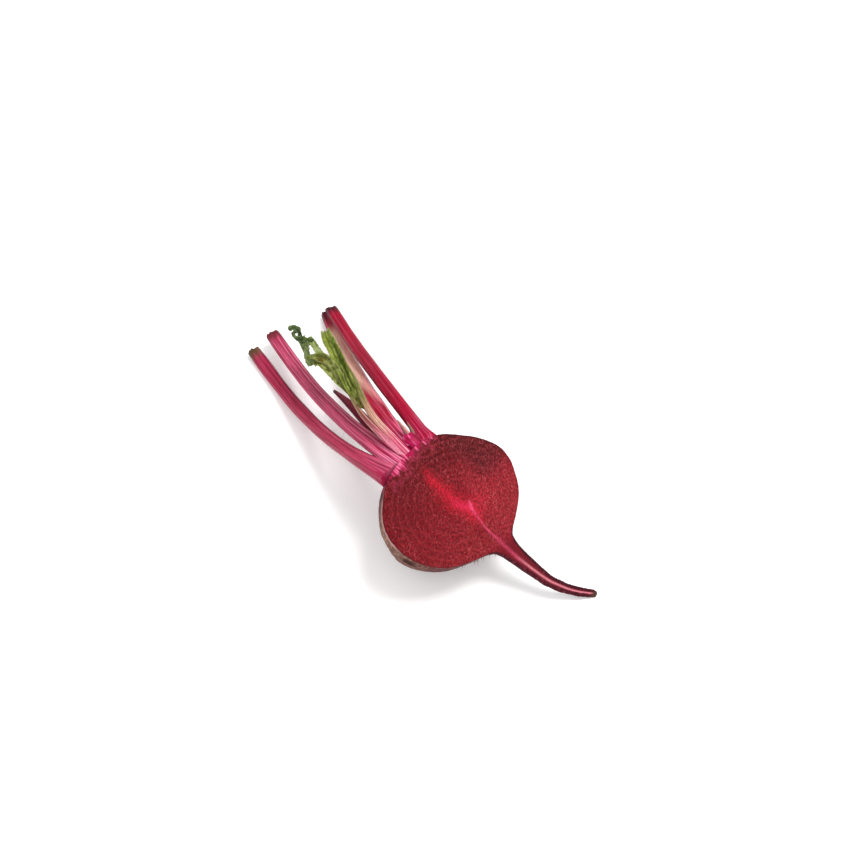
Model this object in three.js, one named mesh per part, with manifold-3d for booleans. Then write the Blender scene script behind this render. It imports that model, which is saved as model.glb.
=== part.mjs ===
// Half of a beetroot with its trimmed leaf stalks, lying on its round back with the cut face up.
// Millimetres, +Z up. The origin is the middle of the flat spot that the root rests on, and +X
// runs along the root, as seen from above, from the crown to the tip of the taproot.
import * as THREE from "three";
import { mergeVertices } from "three/addons/utils/BufferGeometryUtils.js";
import Module from "manifold-3d";

const wasm = await Module();
wasm.setup();

// The cut face: its middle, and how far it leans down towards the taproot
const FACE_MIDDLE = new THREE.Vector3(6.6, -0.8, 33.5);
const FACE_TILT = THREE.MathUtils.degToRad(26);

// The root, in the cut face's own frame: pairs of a distance along its axis from the widest
// place and, there, the root's radius or how far its middle has wandered across the face
const ROOT_RADIUS = [
  [-28.6, 1.5], [-28.2, 7], [-27.2, 12.5], [-25, 18.3], [-21, 24.2],
  [-17, 28.5], [-12, 32.5], [-6, 35.2], [0, 36.2], [6, 35], [12, 31.9], [17.5, 27.4],
  [21.5, 21.9], [25, 15], [27.5, 9.3], [30, 6.1], [33.5, 4.9], [38, 4.3], [46, 3.55], [54, 2.95],
  [64, 2.4], [74, 1.8], [75, 0.9],
];
const ROOT_ACROSS = [
  [-28.6, 0], [-27.2, 0], [-17, -1.3], [-6, -0.1], [0, 0.6], [6, 0.9], [12, 1], [21.5, 1.6], [28, 2.8],
  [33.5, 3], [38, 3.25], [46, 4], [54, 5.1], [61, 7.6], [67, 11.1], [75, 17.3],
];
// How deep the half is for its radius: the back is flatter near the crown
const ROOT_DEPTH = [
  [-28.6, 1], [-26, 0.97], [-21, 0.86], [-17, 0.77], [-10, 0.77], [-4, 0.88], [4, 1], [75, 1],
];
// Rings stay square to the root's axis in its round body and turn with the thin taproot
const TAPROOT_START = 27;
const TAPROOT_THIN = 40;
const ROOT_SIDES = 44;
const ROOT_RINGS = 40;
// A soft mound of crown tissue between two stalks, in the same frame: its middle and half sizes
const MOUND_MIDDLE = [-29.5, 9.5, -3.6];
const MOUND_REACH = [6, 4.2, 3.5];
const MOUND_AROUND = 24;
const MOUND_RINGS = 16;

// Pieces that grow beside each other keep this gap
const GAP = 0.3;

const STALK_SIDES = 14;
const STALK_RINGS = 20;

// Each long stalk: a cubic Bezier from inside the crown to its trimmed end, its width at parts of
// its length, and how thick it is for its width
const STALKS = {
  leaf_stalk_1: {
    path: [[-19, -11, 42], [-58.5, -6, 29.4], [-93.5, 16.7, -3], [-137, 32.4, 3.3]],
    widths: [[0, 12], [0.08, 9.5], [0.3, 6.9], [1, 6.6]],
    thickness: 0.88,
  },
  leaf_stalk_2: {
    path: [[-18.5, -4, 43.3], [-57, 2.6, 35.5], [-94.2, 24.5, 9.8], [-133, 42.5, 8.5]],
    widths: [[0, 9], [0.3, 7.6], [1, 7.2]],
    thickness: 0.8,
  },
  leaf_stalk_3: {
    path: [[-24.3, 0.1, 38.6], [-43.4, 10.1, 29.9], [-63.8, 21, 25.3], [-83.5, 28.3, 15.5]],
    widths: [[0, 6.5], [0.3, 5.6], [0.7, 4.4], [1, 1.6]],
    thickness: 0.85,
  },
  leaf_stalk_4: {
    path: [[-21.2, 6.2, 42.6], [-48.2, 13, 43], [-96.5, 54, 3], [-124.4, 73, 3]],
    widths: [[0, 9], [0.08, 7.4], [0.3, 8], [1, 6.2]],
    thickness: 0.88,
  },
  leaf_stalk_5: {
    path: [[-17, 13.3, 42.8], [-53.5, 28.9, 41.6], [-86.2, 50.7, 18.6], [-119.8, 71.2, 10.8]],
    widths: [[0, 10], [0.08, 6.8], [0.3, 6.6], [1, 6.2]],
    thickness: 0.85,
  },
};
// How deep the channel along a stalk's upper side is, as a part of its half thickness
const CHANNEL_DEPTH = 0.3;
const CHANNEL_SPREAD = 0.55;

// Each young leaf: points along its rib, then its width and thickness at parts of its length
const LEAVES = {
  young_leaf_1: {
    rib: [[-17.6, 1.5, 43.6], [-28.5, 3.2, 46.1], [-44, 8.1, 46.2], [-52, 12.5, 45.2],
      [-63.3, 20.6, 43.2], [-76.5, 29, 40.8], [-88, 35.1, 38.3], [-97.6, 40.4, 36]],
    widths: [[0, 4.8], [0.15, 3.4], [0.3, 2.8], [0.44, 3.4], [0.55, 6.2], [0.75, 7], [0.93, 6.2], [1, 4]],
    thicknesses: [[0, 3], [0.4, 2.4], [0.6, 2.6], [1, 1.6]],
  },
  young_leaf_2: {
    rib: [[-18.5, -0.2, 43.3], [-25.7, 0.4, 45], [-33.4, 1.9, 46], [-48.6, 6.6, 45],
      [-66.3, 16.3, 42.4], [-79, 21.2, 40.6], [-92.4, 23.8, 38.6], [-104.9, 30.9, 36.8],
      [-111.9, 35.1, 36]],
    widths: [[0, 3.6], [0.3, 2.8], [0.52, 3], [0.62, 5.6], [0.78, 6.2], [0.9, 5], [1, 3.4]],
    thicknesses: [[0, 2.8], [0.5, 2.2], [0.7, 3], [0.9, 3.4], [1, 2.6]],
  },
  bud_leaf_1: {
    rib: [[-21.7, 8.4, 44.4], [-26.8, 9.3, 47.6], [-32.6, 11, 49.7]],
    widths: [[0, 2.4], [0.6, 2], [1, 0.8]],
    thicknesses: [[0, 1.8], [1, 0.8]],
  },
  bud_leaf_2: {
    rib: [[-20.6, 9.8, 43.8], [-25.1, 11.7, 46.5], [-29, 13.6, 48]],
    widths: [[0, 2.2], [0.6, 1.8], [1, 0.8]],
    thicknesses: [[0, 1.6], [1, 0.8]],
  },
};
const LEAF_SIDES = 12;
const LEAF_RINGS = 24;
const BUD_RINGS = 6;

// Half the side of the blocks that cut the pieces at the face and at the floor
const CUTTER = 200;

const UP = new THREE.Vector3(0, 0, 1);

/** A smooth curve through [x, y] pairs that never overshoots them, as a function of x. */
function smoothThrough(pairs) {
  const steps = pairs.slice(1).map(([x, y], k) => [x - pairs[k][0], y - pairs[k][1]]);
  const slopes = steps.map(([run, rise]) => rise / run);
  const tangents = pairs.map((_, k) => {
    const before = slopes[Math.max(k - 1, 0)];
    const after = slopes[Math.min(k, slopes.length - 1)];
    return before * after > 0 ? (2 * before * after) / (before + after) : 0;
  });
  return (x) => {
    let k = 0;
    while (k < steps.length - 1 && x > pairs[k + 1][0]) k += 1;
    const run = steps[k][0];
    const u = THREE.MathUtils.clamp((x - pairs[k][0]) / run, 0, 1);
    const v = 1 - u;
    return (1 + 2 * u) * v * v * pairs[k][1] + u * v * v * run * tangents[k]
      + u * u * (3 - 2 * u) * pairs[k + 1][1] - u * u * v * run * tangents[k + 1];
  };
}

/** Skins rings of the same number of points, which turn the same way, into one closed body. */
function loft(rings) {
  const sides = rings[0].length;
  const points = rings.flat();
  const index = [];
  for (let r = 0; r + 1 < rings.length; r += 1) {
    for (let k = 0; k < sides; k += 1) {
      const a = r * sides + k;
      const b = r * sides + ((k + 1) % sides);
      index.push(a, b, b + sides, a, b + sides, a + sides);
    }
  }
  const ends = [[0, false], [rings.length - 1, true]];
  for (const [r, last] of ends) {
    const middle = points.length;
    const sum = rings[r].reduce((total, point) => total.add(point), new THREE.Vector3());
    points.push(sum.divideScalar(sides));
    for (let k = 0; k < sides; k += 1) {
      const a = r * sides + k;
      const b = r * sides + ((k + 1) % sides);
      index.push(...(last ? [middle, a, b] : [middle, b, a]));
    }
  }
  const geometry = new THREE.BufferGeometry().setFromPoints(points);
  geometry.setIndex(index);
  return geometry;
}

function toSolid(geometry) {
  geometry.deleteAttribute("normal");
  geometry.deleteAttribute("uv");
  const merged = mergeVertices(geometry, 1e-4);
  return new wasm.Manifold(new wasm.Mesh({
    numProp: 3,
    vertProperties: new Float32Array(merged.attributes.position.array),
    triVerts: new Uint32Array(merged.index.array),
  }));
}

function toMesh(name, solid, material) {
  const { vertProperties, triVerts, numProp } = solid.getMesh();
  const positions = new Float32Array((vertProperties.length / numProp) * 3);
  for (let v = 0; v < positions.length / 3; v += 1) {
    positions.set(vertProperties.subarray(v * numProp, v * numProp + 3), v * 3);
  }
  const geometry = new THREE.BufferGeometry();
  geometry.setAttribute("position", new THREE.BufferAttribute(positions, 3));
  geometry.setIndex(new THREE.BufferAttribute(new Uint32Array(triVerts), 1));
  geometry.computeVertexNormals();
  const mesh = new THREE.Mesh(geometry, material);
  mesh.name = name;
  return mesh;
}

/** From the cut face's frame (along the root, across the face, out of it) to the part's. */
const facePlacement = new THREE.Matrix4()
  .makeRotationY(FACE_TILT)
  .setPosition(FACE_MIDDLE);

/** A block whose lower face is the cut face. */
function aboveFace() {
  const block = new THREE.BoxGeometry(2 * CUTTER, 2 * CUTTER, CUTTER).translate(0, 0, CUTTER / 2);
  return toSolid(block.applyMatrix4(facePlacement));
}

/** A block whose upper face is the floor. */
function belowFloor() {
  return toSolid(new THREE.BoxGeometry(2 * CUTTER, 2 * CUTTER, CUTTER).translate(0, 0, -CUTTER / 2));
}

/** The whole round root with the mound at its crown, grown by extra, before it is halved. */
function wholeRoot(extra) {
  const radius = smoothThrough(ROOT_RADIUS);
  const across = smoothThrough(ROOT_ACROSS);
  const depth = smoothThrough(ROOT_DEPTH);
  const start = ROOT_RADIUS[0][0];
  const end = ROOT_RADIUS.at(-1)[0];
  const outline = new THREE.SplineCurve(
    Array.from({ length: 4 * ROOT_RINGS + 1 }, (_, k) => {
      const along = THREE.MathUtils.lerp(start, end, k / (4 * ROOT_RINGS));
      return new THREE.Vector2(along, radius(along));
    }),
  );
  const rings = outline.getSpacedPoints(ROOT_RINGS).map(({ x: along }, r) => {
    const step = 0.5;
    const slope = (across(along + step) - across(along - step)) / (2 * step);
    const heading = Math.atan(slope) * THREE.MathUtils.smoothstep(along, TAPROOT_START, TAPROOT_THIN);
    const grown = radius(along) + extra;
    const lengthened = r === 0 ? along - extra : along;
    return Array.from({ length: ROOT_SIDES }, (_, k) => {
      const angle = (2 * Math.PI * k) / ROOT_SIDES;
      const aside = grown * Math.cos(angle);
      return new THREE.Vector3(
        lengthened - aside * Math.sin(heading),
        across(along) + aside * Math.cos(heading),
        (radius(along) * depth(along) + extra) * Math.sin(angle),
      );
    });
  });
  const reach = MOUND_REACH.map((half) => half + extra);
  const mound = new THREE.SphereGeometry(1, MOUND_AROUND, MOUND_RINGS);
  mound.scale(...reach).translate(...MOUND_MIDDLE);
  return toSolid(loft(rings).applyMatrix4(facePlacement))
    .add(toSolid(mound.applyMatrix4(facePlacement)));
}

/** Rings square to a curve; outline gives points of a ring as [to its side, upwards]. */
function ringsAlong(curve, count, outline) {
  return Array.from({ length: count + 1 }, (_, r) => {
    const u = r / count;
    const middle = curve.getPointAt(u);
    const ahead = curve.getTangentAt(u);
    const aside = new THREE.Vector3().crossVectors(UP, ahead).normalize();
    const above = new THREE.Vector3().crossVectors(ahead, aside);
    return outline(u).map(([x, y]) => (
      middle.clone().addScaledVector(aside, x).addScaledVector(above, y)
    ));
  });
}

/** A leaf stalk: round below, with a shallow channel along its upper side. */
function stalk({ path, widths, thickness }, extra) {
  const curve = new THREE.CubicBezierCurve3(...path.map((point) => new THREE.Vector3(...point)));
  const widthAt = smoothThrough(widths);
  const outline = (u) => Array.from({ length: STALK_SIDES }, (_, k) => {
    const angle = (2 * Math.PI * k) / STALK_SIDES;
    const half = widthAt(u) / 2;
    const fromTop = Math.cos(angle) / CHANNEL_SPREAD;
    const hollow = Math.sin(angle) > 0 ? CHANNEL_DEPTH * Math.exp(-fromTop * fromTop) : 0;
    return [
      (half + extra) * Math.cos(angle),
      (half * thickness * (1 - hollow) + extra) * Math.sin(angle),
    ];
  });
  return toSolid(loft(ringsAlong(curve, STALK_RINGS, outline)));
}

/** A leaf that is still folded along its rib, on its own thin stalk. */
function leaf({ rib, widths, thicknesses }, rings, extra) {
  const curve = new THREE.CatmullRomCurve3(rib.map((point) => new THREE.Vector3(...point)));
  const widthAt = smoothThrough(widths);
  const thicknessAt = smoothThrough(thicknesses);
  const outline = (u) => Array.from({ length: LEAF_SIDES }, (_, k) => {
    const angle = (2 * Math.PI * k) / LEAF_SIDES;
    return [
      (widthAt(u) / 2 + extra) * Math.cos(angle),
      (thicknessAt(u) / 2 + extra) * Math.sin(angle),
    ];
  });
  return toSolid(loft(ringsAlong(curve, rings, outline)));
}

const rootSkin = new THREE.MeshStandardMaterial({ color: 0x7a1624, roughness: 0.6, metalness: 0 });
const stalkSkin = new THREE.MeshStandardMaterial({ color: 0xa3203f, roughness: 0.45, metalness: 0 });
const youngGreen = new THREE.MeshStandardMaterial({ color: 0x7d9a35, roughness: 0.5, metalness: 0 });
const budBrown = new THREE.MeshStandardMaterial({ color: 0x6e5a34, roughness: 0.6, metalness: 0 });

const beetroot = new THREE.Group();
const face = aboveFace();
const floor = belowFloor();

beetroot.add(toMesh("half_root", wholeRoot(0).subtract(face).subtract(floor), rootSkin));

// What a later piece is cut back by: the root and the pieces placed so far, grown by the gap
let taken = wholeRoot(GAP);

/** Places a piece where there is room for it, above the floor and under the cut face. */
function grow(name, build, material) {
  const solid = build(0).subtract(taken).subtract(face).subtract(floor);
  const pieces = solid.decompose().sort((a, b) => b.volume() - a.volume());
  beetroot.add(toMesh(name, pieces[0], material));
  taken = taken.add(build(GAP));
}

for (const [name, shape] of Object.entries(STALKS)) {
  grow(name, (extra) => stalk(shape, extra), stalkSkin);
}
for (const [name, shape] of Object.entries(LEAVES)) {
  const young = name.startsWith("young");
  grow(name, (extra) => leaf(shape, young ? LEAF_RINGS : BUD_RINGS, extra), young ? youngGreen : budBrown);
}

export default beetroot;
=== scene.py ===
"""Half of a beetroot on a white floor: cut root, trimmed stalks, two young leaves and leaf buds."""

import math

import bpy
import numpy as np
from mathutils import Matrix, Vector, noise


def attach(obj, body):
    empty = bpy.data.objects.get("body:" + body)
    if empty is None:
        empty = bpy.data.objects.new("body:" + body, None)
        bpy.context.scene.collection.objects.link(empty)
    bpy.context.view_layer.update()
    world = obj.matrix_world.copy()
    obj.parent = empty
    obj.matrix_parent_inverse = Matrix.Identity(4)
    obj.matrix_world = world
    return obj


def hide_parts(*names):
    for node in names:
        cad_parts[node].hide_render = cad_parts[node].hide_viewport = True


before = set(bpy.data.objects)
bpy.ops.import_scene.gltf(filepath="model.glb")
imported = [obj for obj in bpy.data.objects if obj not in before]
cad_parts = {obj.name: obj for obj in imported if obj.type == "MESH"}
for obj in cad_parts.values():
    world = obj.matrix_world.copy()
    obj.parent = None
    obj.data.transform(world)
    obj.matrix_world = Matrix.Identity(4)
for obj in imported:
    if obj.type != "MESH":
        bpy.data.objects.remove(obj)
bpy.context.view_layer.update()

# Shapes are worked out in millimetres, in the part's frame, and written to meshes in metres
MM = 0.001

# How finely curves are sampled before points are spaced evenly along them
OUTLINE_SAMPLES = 6000
BEZIER_SAMPLES = 600
CURVE_SAMPLES = 400

# Edges sharper than this, in degrees, stay sharp in the shading
SHARP_EDGE = 50

# The cut face's middle, and how far the face leans down towards the taproot
FACE_MIDDLE = np.array([6.6, -0.8, 33.5])
FACE_TILT = math.radians(26)
ALONG = np.array([math.cos(FACE_TILT), 0, -math.sin(FACE_TILT)])
ACROSS = np.array([0, 1, 0])
OUT = np.array([math.sin(FACE_TILT), 0, math.cos(FACE_TILT)])

# The root: distance along its axis from the widest place, with its radius or its sideways drift
ROOT_RADIUS = [
    (-28.7, 0.1), (-28.6, 1.5), (-28.2, 7), (-27.2, 12.5), (-25, 18.3), (-21, 24.2), (-17, 28.5),
    (-12, 32.5), (-6, 35.2), (0, 36.2), (6, 35), (12, 31.9), (17.5, 27.4), (21.5, 21.9), (25, 15),
    (27.5, 9.3), (30, 6.1), (33.5, 4.9), (38, 4.3), (46, 3.55), (54, 2.95), (64, 2.4), (73.6, 1.82),
    (74.8, 1.1), (75, 0.1),
]
ROOT_ACROSS = [
    (-28.7, 0), (-27.2, 0), (-17, -1.3), (-6, -0.1), (0, 0.6), (6, 0.9), (12, 1), (21.5, 1.6),
    (28, 2.8), (33.5, 3), (38, 3.25), (46, 4), (54, 5.1), (61, 7.6), (67, 11.1), (75, 17.3),
]
# How deep the half is for its radius: the back is flatter near the crown
ROOT_DEPTH = [
    (-28.7, 1), (-26, 0.97), (-21, 0.86), (-17, 0.77), (-10, 0.77), (-4, 0.88), (4, 1), (75, 1),
]
TAPROOT_START = 27
TAPROOT_THIN = 40
# A soft mound of crown tissue between two stalks, in the same frame: its middle and half sizes
MOUND_MIDDLE = np.array([-29.5, 9.5, -3.6])
MOUND_REACH = np.array([6, 4.2, 3.5])
ROOT_RINGS = 330
SKIN_COLUMNS = 90
FACE_COLUMNS = 170

# What grows at the crown stays this far under the plane of the cut, as far out along X as this
UNDER_FACE = 0.05
SLICED_UP_TO = -45

# On the cut face: the bright streak and the thin core line, as their place across at places along
STREAK_LINE = [
    (-24, 1.6), (-18, 1.3), (-14, 0.6), (-6, 0.5), (0, 0.4), (4, 1), (7, 2.8), (10.4, 3.3),
    (14.7, 2.9), (75, 2.2),
]
CORE_LINE = [
    (6, 5.8), (8, 4.6), (10.4, 3.7), (14.7, 2.9), (20.2, 2.1), (25, 2.2), (30.4, 2.3), (36, 2.4),
    (41, 3), (45, 3.5), (50.2, 4.3), (55.4, 5.4), (60.1, 7.3), (64.6, 9.4), (68.6, 12),
    (71.5, 14.4), (75, 17.4),
]
# The core line's half width and its strength at places along
CORE_WIDTH = [
    (5, 0.5), (8, 0.75), (14, 0.55), (22, 0.55), (28, 1), (36, 0.9), (44, 0.6), (60, 0.55),
    (75, 0.5),
]
CORE_STRENGTH = [
    (4.5, 0), (6.5, 0.95), (9, 0.8), (13, 0.45), (18, 0.58), (22, 0.6), (27, 0.4), (34, 0.45),
    (40, 0.8), (50, 0.9), (75, 0.95),
]

# The streak's half width at places along, and the part of the taproot's radius outside which it
# shows skin
STREAK_SPREAD = [(-24, 2), (-14, 2.6), (-4, 3.6), (6, 4.4), (12, 3.2), (20, 1.8), (75, 1)]
TAPROOT_SKIN = [(26, 0.95), (30, 0.84), (38, 0.66), (46, 0.52), (56, 0.4), (66, 0.34), (75, 0.3)]

# The stalks: a cubic Bezier each, widths at parts of the length and the thickness for the width.
# Colours are sRGB 0 to 255. Stripes run lengthwise: the light ones are painted highlights and the
# dark ones painted shade, on the sides that face the light and turn from it. Each gives the angle
# round the stalk from the side that faces up and to the front, the half width in degrees, where it
# starts and ends, and how strong it is
STALKS = {
    "leaf_stalk_1": {
        "path": [(-19, -11, 42), (-58.5, -6, 29.4), (-93.5, 16.7, -3), (-137, 32.4, 3.3)],
        "widths": [(0, 12), (0.08, 9.5), (0.3, 6.9), (1, 6.6)], "thickness": 0.88,
        "body": (190, 52, 88), "groove": (128, 14, 44), "ridge_and_highlight": (226, 108, 138),
        "end": ((96, 78, 52), (164, 104, 96)), "end_reach": 5.2, "pink": 0.3,
        "light": [
            (-62, 8, 0, 1, 0.75), (48, 8, 0, 0.5, 0.6), (-40, 5, 0, 0.35, 0.5),
            (10, 5, 0.05, 0.5, 0.25),
        ],
        "dark": [
            (74, 12, 0.45, 1, 0.9), (30, 5, 0.2, 0.9, 0.35), (-25, 5, 0.3, 1, 0.3),
            (88, 16, 0, 1, 0.6),
        ],
    },
    "leaf_stalk_2": {
        "path": [(-18.5, -4, 43.3), (-57, 2.6, 35.5), (-94.2, 24.5, 9.8), (-133, 42.5, 8.5)],
        "widths": [(0, 9), (0.3, 7.6), (1, 7.2)], "thickness": 0.8,
        "body": (206, 66, 106), "groove": (136, 16, 52), "ridge_and_highlight": (248, 142, 170),
        "end": ((118, 44, 52), (172, 88, 92)), "end_reach": 4.5, "pink": 0.9,
        "light": [
            (66, 5, 0, 0.9, 0.9), (40, 5, 0, 0.95, 0.7), (-20, 4, 0.1, 1, 0.5), (0, 4, 0.1, 0.9, 0.5),
            (-62, 8, 0, 1, 0.5),
        ],
        "dark": [
            (30, 4, 0.15, 1, 0.8), (-34, 4, 0.2, 1, 0.6), (92, 12, 0, 1, 0.6),
            (-9, 3, 0.3, 1, 0.3), (54, 3, 0.1, 0.9, 0.4),
        ],
    },
    # Stalk 3 lies low, in the shade under the others: its darkened colours are painted shade
    "leaf_stalk_3": {
        "path": [(-24.3, 0.1, 38.6), (-43.4, 10.1, 29.9), (-63.8, 21, 25.3), (-83.5, 28.3, 15.5)],
        "widths": [(0, 6.5), (0.3, 5.6), (0.7, 4.4), (1, 1.6)], "thickness": 0.85,
        "body": (112, 8, 38), "groove": (76, 4, 24), "ridge_and_highlight": (146, 22, 58),
        "end": ((60, 30, 28), (84, 48, 42)), "end_reach": 4, "pink": 0.1,
        "light": [(40, 8, 0, 1, 0.4)],
        "dark": [(0, 12, 0, 1, 0.5)],
    },
    "leaf_stalk_4": {
        "path": [(-21.2, 6.2, 42.6), (-48.2, 13, 43), (-96.5, 54, 3), (-124.4, 73, 3)],
        "widths": [(0, 9), (0.08, 7.4), (0.3, 8), (1, 6.2)], "thickness": 0.88,
        "body": (186, 0, 52), "groove": (118, 0, 30), "ridge_and_highlight": (255, 136, 160),
        "end": ((66, 14, 32), (96, 26, 42)), "end_reach": 7, "pink": 0.7,
        "light": [(60, 5, 0.03, 0.62, 1), (50, 14, 0.26, 0.5, 0.6), (30, 4, 0.62, 0.8, 0.5)],
        "dark": [(98, 10, 0, 1, 0.6), (-72, 18, 0, 1, 0.7), (20, 5, 0.1, 0.4, 0.3)],
    },
    "leaf_stalk_5": {
        "path": [(-17, 13.3, 42.8), (-53.5, 28.9, 41.6), (-86.2, 50.7, 18.6), (-119.8, 71.2, 10.8)],
        "widths": [(0, 10), (0.08, 6.8), (0.3, 6.6), (1, 6.2)], "thickness": 0.85,
        "body": (176, 0, 46), "groove": (106, 0, 26), "ridge_and_highlight": (216, 62, 100),
        "end": ((60, 12, 28), (98, 24, 42)), "end_reach": 6, "pink": 0.25,
        "light": [(50, 8, 0, 0.42, 0.45), (62, 9, 0.4, 0.75, 0.3), (-35, 5, 0.5, 1, 0.25)],
        "dark": [
            (-70, 22, 0, 1, 0.9), (14, 5, 0.3, 1, 0.35), (84, 10, 0.45, 1, 0.55),
            (-18, 4, 0.1, 0.7, 0.3),
        ],
    },
}
STALK_RINGS = 240
STALK_SIDES = 72
CHANNEL_DEPTH = 0.3
CHANNEL_SPREAD = 0.55
STALK_RIBS = 11
STALK_RIB_HEIGHT = 0.02

# The young leaves: points along their stalks and along the first one's rib
LEAF_1_STALK = [
    (-17.6, 1.5, 43.6), (-28.5, 3.2, 46.1), (-44, 8.1, 46.2), (-52, 12.5, 45.2),
    (-63.3, 20.6, 43.2), (-76.5, 29, 40.8),
]
LEAF_1_BLADE = [
    (-50, 10.9, 45.4), (-53.8, 12.9, 44.9), (-58.5, 15.2, 44.2), (-64, 17.7, 43.4),
    (-69.2, 20.6, 42.6), (-74.5, 24.3, 41.6), (-79.9, 28.1, 40.6), (-86.3, 32.4, 39.2),
    (-91.5, 35.9, 38), (-95.9, 39.1, 37), (-98.4, 41, 36.4),
]
LEAF_2_STALK = [
    (-18.5, -0.2, 43.3), (-25.7, 0.4, 45), (-33.4, 1.9, 46), (-48.6, 6.6, 45), (-62, 13.8, 43),
    (-72.3, 18.6, 41.5), (-82.7, 22.8, 40.1), (-90.8, 22.6, 38.8),
]
# The second leaf's ribbons: each one's path, its reach to the left and to the right at parts of its
# length, its rings, columns, fold, ruffle, raggedness and pleat, its green, light and dark colours,
# and how strong the painted shade along its crease is
DEEP_GREENS = ((58, 78, 28), (112, 132, 72), (28, 44, 6))
LEAF_2_PARTS = {
    "blade": (
        [
            (-62, 13.8, 43), (-67.5, 16.3, 42.2), (-72.3, 18.6, 41.5), (-77.6, 20.9, 40.8),
            (-82.7, 22.8, 40.1), (-87.7, 23.9, 39.4), (-90.8, 22.6, 38.8), (-93.1, 21.3, 38.4),
        ],
        [(0, 0.6), (0.25, 1.9), (0.5, 2.6), (0.7, 3), (0.85, 3.3), (1, 2.2)],
        [(0, 0.8), (0.25, 2.7), (0.5, 3.9), (0.7, 4.3), (0.85, 3), (1, 1.2)],
        (150, 30, 1.6, 1.7, 0.14, 0.25),
        ((124, 134, 48), (172, 180, 104), (84, 94, 24)), 0.4,
    ),
    "left prong": (
        [
            (-88.6, 19.6, 39), (-91, 21, 38.7), (-94.1, 23.6, 38.3), (-97.8, 26.7, 37.8),
            (-101.4, 29.2, 37.3), (-104.4, 31.1, 37),
        ],
        [(0, 1.8), (0.3, 1.8), (0.7, 2), (1, 1.8)], [(0, 1.6), (0.4, 1.4), (0.8, 2), (1, 1.7)],
        (90, 16, 0.8, 0.9, 0.2),
        ((96, 110, 54), (140, 152, 100), (58, 74, 22)), 0.5,
    ),
    "right prong": (
        [
            (-79.5, 23.4, 40.4), (-83.1, 24.8, 40), (-87.9, 26.3, 39.4), (-92.2, 28.3, 38.8),
            (-96.4, 30.5, 38.2), (-99.7, 32.3, 37.7), (-100.9, 33.1, 37.6),
        ],
        [(0, 1.2), (0.4, 1.6), (0.8, 1.5), (1, 1.1)], [(0, 1.2), (0.4, 1.8), (0.8, 1.5), (1, 1)],
        (90, 16, 0.7, 0.5, 0.14),
        ((132, 150, 72), (176, 186, 124), (90, 104, 36)), 0.3,
    ),
    "bridge": (
        [(-97.2, 32.2, 38.2), (-98.2, 31.2, 38), (-99.6, 29.6, 37.8), (-101.2, 27.8, 37.5)],
        [(0, 1), (0.5, 1.4), (1, 1)], [(0, 1), (0.5, 1.7), (1, 1.2)],
        (40, 14, 0.6, 0.9, 0.25),
        DEEP_GREENS, 0.6,
    ),
    "hook 1": (
        [
            (-99.8, 27.6, 37.5), (-101.7, 28.9, 37.4), (-104.4, 30.8, 37.2), (-106.8, 32.4, 37.2),
            (-108.6, 33.2, 37.6), (-110.2, 32.8, 38.1), (-110.8, 31.5, 38.4), (-110.3, 30.2, 38.2),
        ],
        [(0, 1.8), (0.25, 1.3), (0.5, 1), (0.75, 1.4), (1, 0.9)],
        [(0, 1.6), (0.25, 1.3), (0.5, 1), (0.75, 1.5), (1, 0.8)],
        (90, 14, 0.8, 1, 0.4),
        DEEP_GREENS, 0.6,
    ),
    "hook 2": (
        [
            (-101.6, 29.1, 37.2), (-103.8, 29, 37.6), (-105.8, 28.5, 38.1), (-107.4, 29, 38.6),
            (-107.7, 30.5, 38.8), (-106.8, 31.2, 38.4),
        ],
        [(0, 1.4), (0.4, 1), (0.8, 1.1), (1, 0.5)], [(0, 1.4), (0.4, 1), (0.8, 1.1), (1, 0.5)],
        (70, 14, 0.7, 0.9, 0.35),
        DEEP_GREENS, 0.6,
    ),
}
# The leaf buds: each one's path, its reach, and the colours of its base, edge, shade and tip
BUDS = {
    "bud_leaf_1": {
        "path": [(-21.7, 8.4, 44.8), (-26.8, 9.3, 47.6), (-30, 10.1, 48.9), (-32.6, 11, 49.6)],
        "reach": 1.25, "seed": 71,
        "colours": ((178, 112, 112), (226, 170, 160), (124, 44, 62), (190, 150, 130)),
    },
    "bud_leaf_2": {
        "path": [(-20.6, 9.8, 44.2), (-25.1, 11.7, 46.6), (-27.4, 12.8, 47.5), (-29.2, 13.7, 48)],
        "reach": 0.95, "seed": 73,
        "colours": ((138, 92, 82), (168, 124, 108), (84, 44, 44), (150, 118, 104)),
    },
}
# The young leaves' upper sides face this way
LEAF_FACING = np.array([0.377, -0.5, 0.78])

# Root hairs: how many grow in the tuft under the neck, and how far along the root it is
TUFT_HAIRS = 16
TUFT_ALONG = 25.5
TAPROOT_HAIRS = 6

# The photograph's camera: its direction, and where the cut face's middle stands in its frame
VIEW_AZIMUTH = math.radians(37)
VIEW_ELEVATION = math.radians(51.25)
IMAGE_SIZE = 850
FACE_MIDDLE_PIXEL = (452, 501)
MM_PER_PIXEL = 0.4375
LENS = 85
SENSOR = 36

# How much brighter than white the studio lights a white surface
LIGHT_LEVEL = 1.4

# The studio: each light's direction, distance, size and power, how far the floor reaches in
# metres, and how much the floor and the surroundings glow
LIGHTS = {"key": ((0.3, 0.28, 1.2), 1, 0.4, 7), "fill": ((0.6, -0.8, 1.2), 1.2, 0.8, 2)}
FLOOR_REACH = 4.0
FLOOR_GLOW = 0.2
WORLD_GLOW = 0.8


def cubic(u, run, start, end, start_slope, end_slope):
    """The cubic from start to end with these slopes, at parts u of its run."""
    v = 1 - u
    return (
        (1 + 2 * u) * v * v * start + u * v * v * run * start_slope
        + u * u * (3 - 2 * u) * end - u * u * v * run * end_slope
    )


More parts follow.
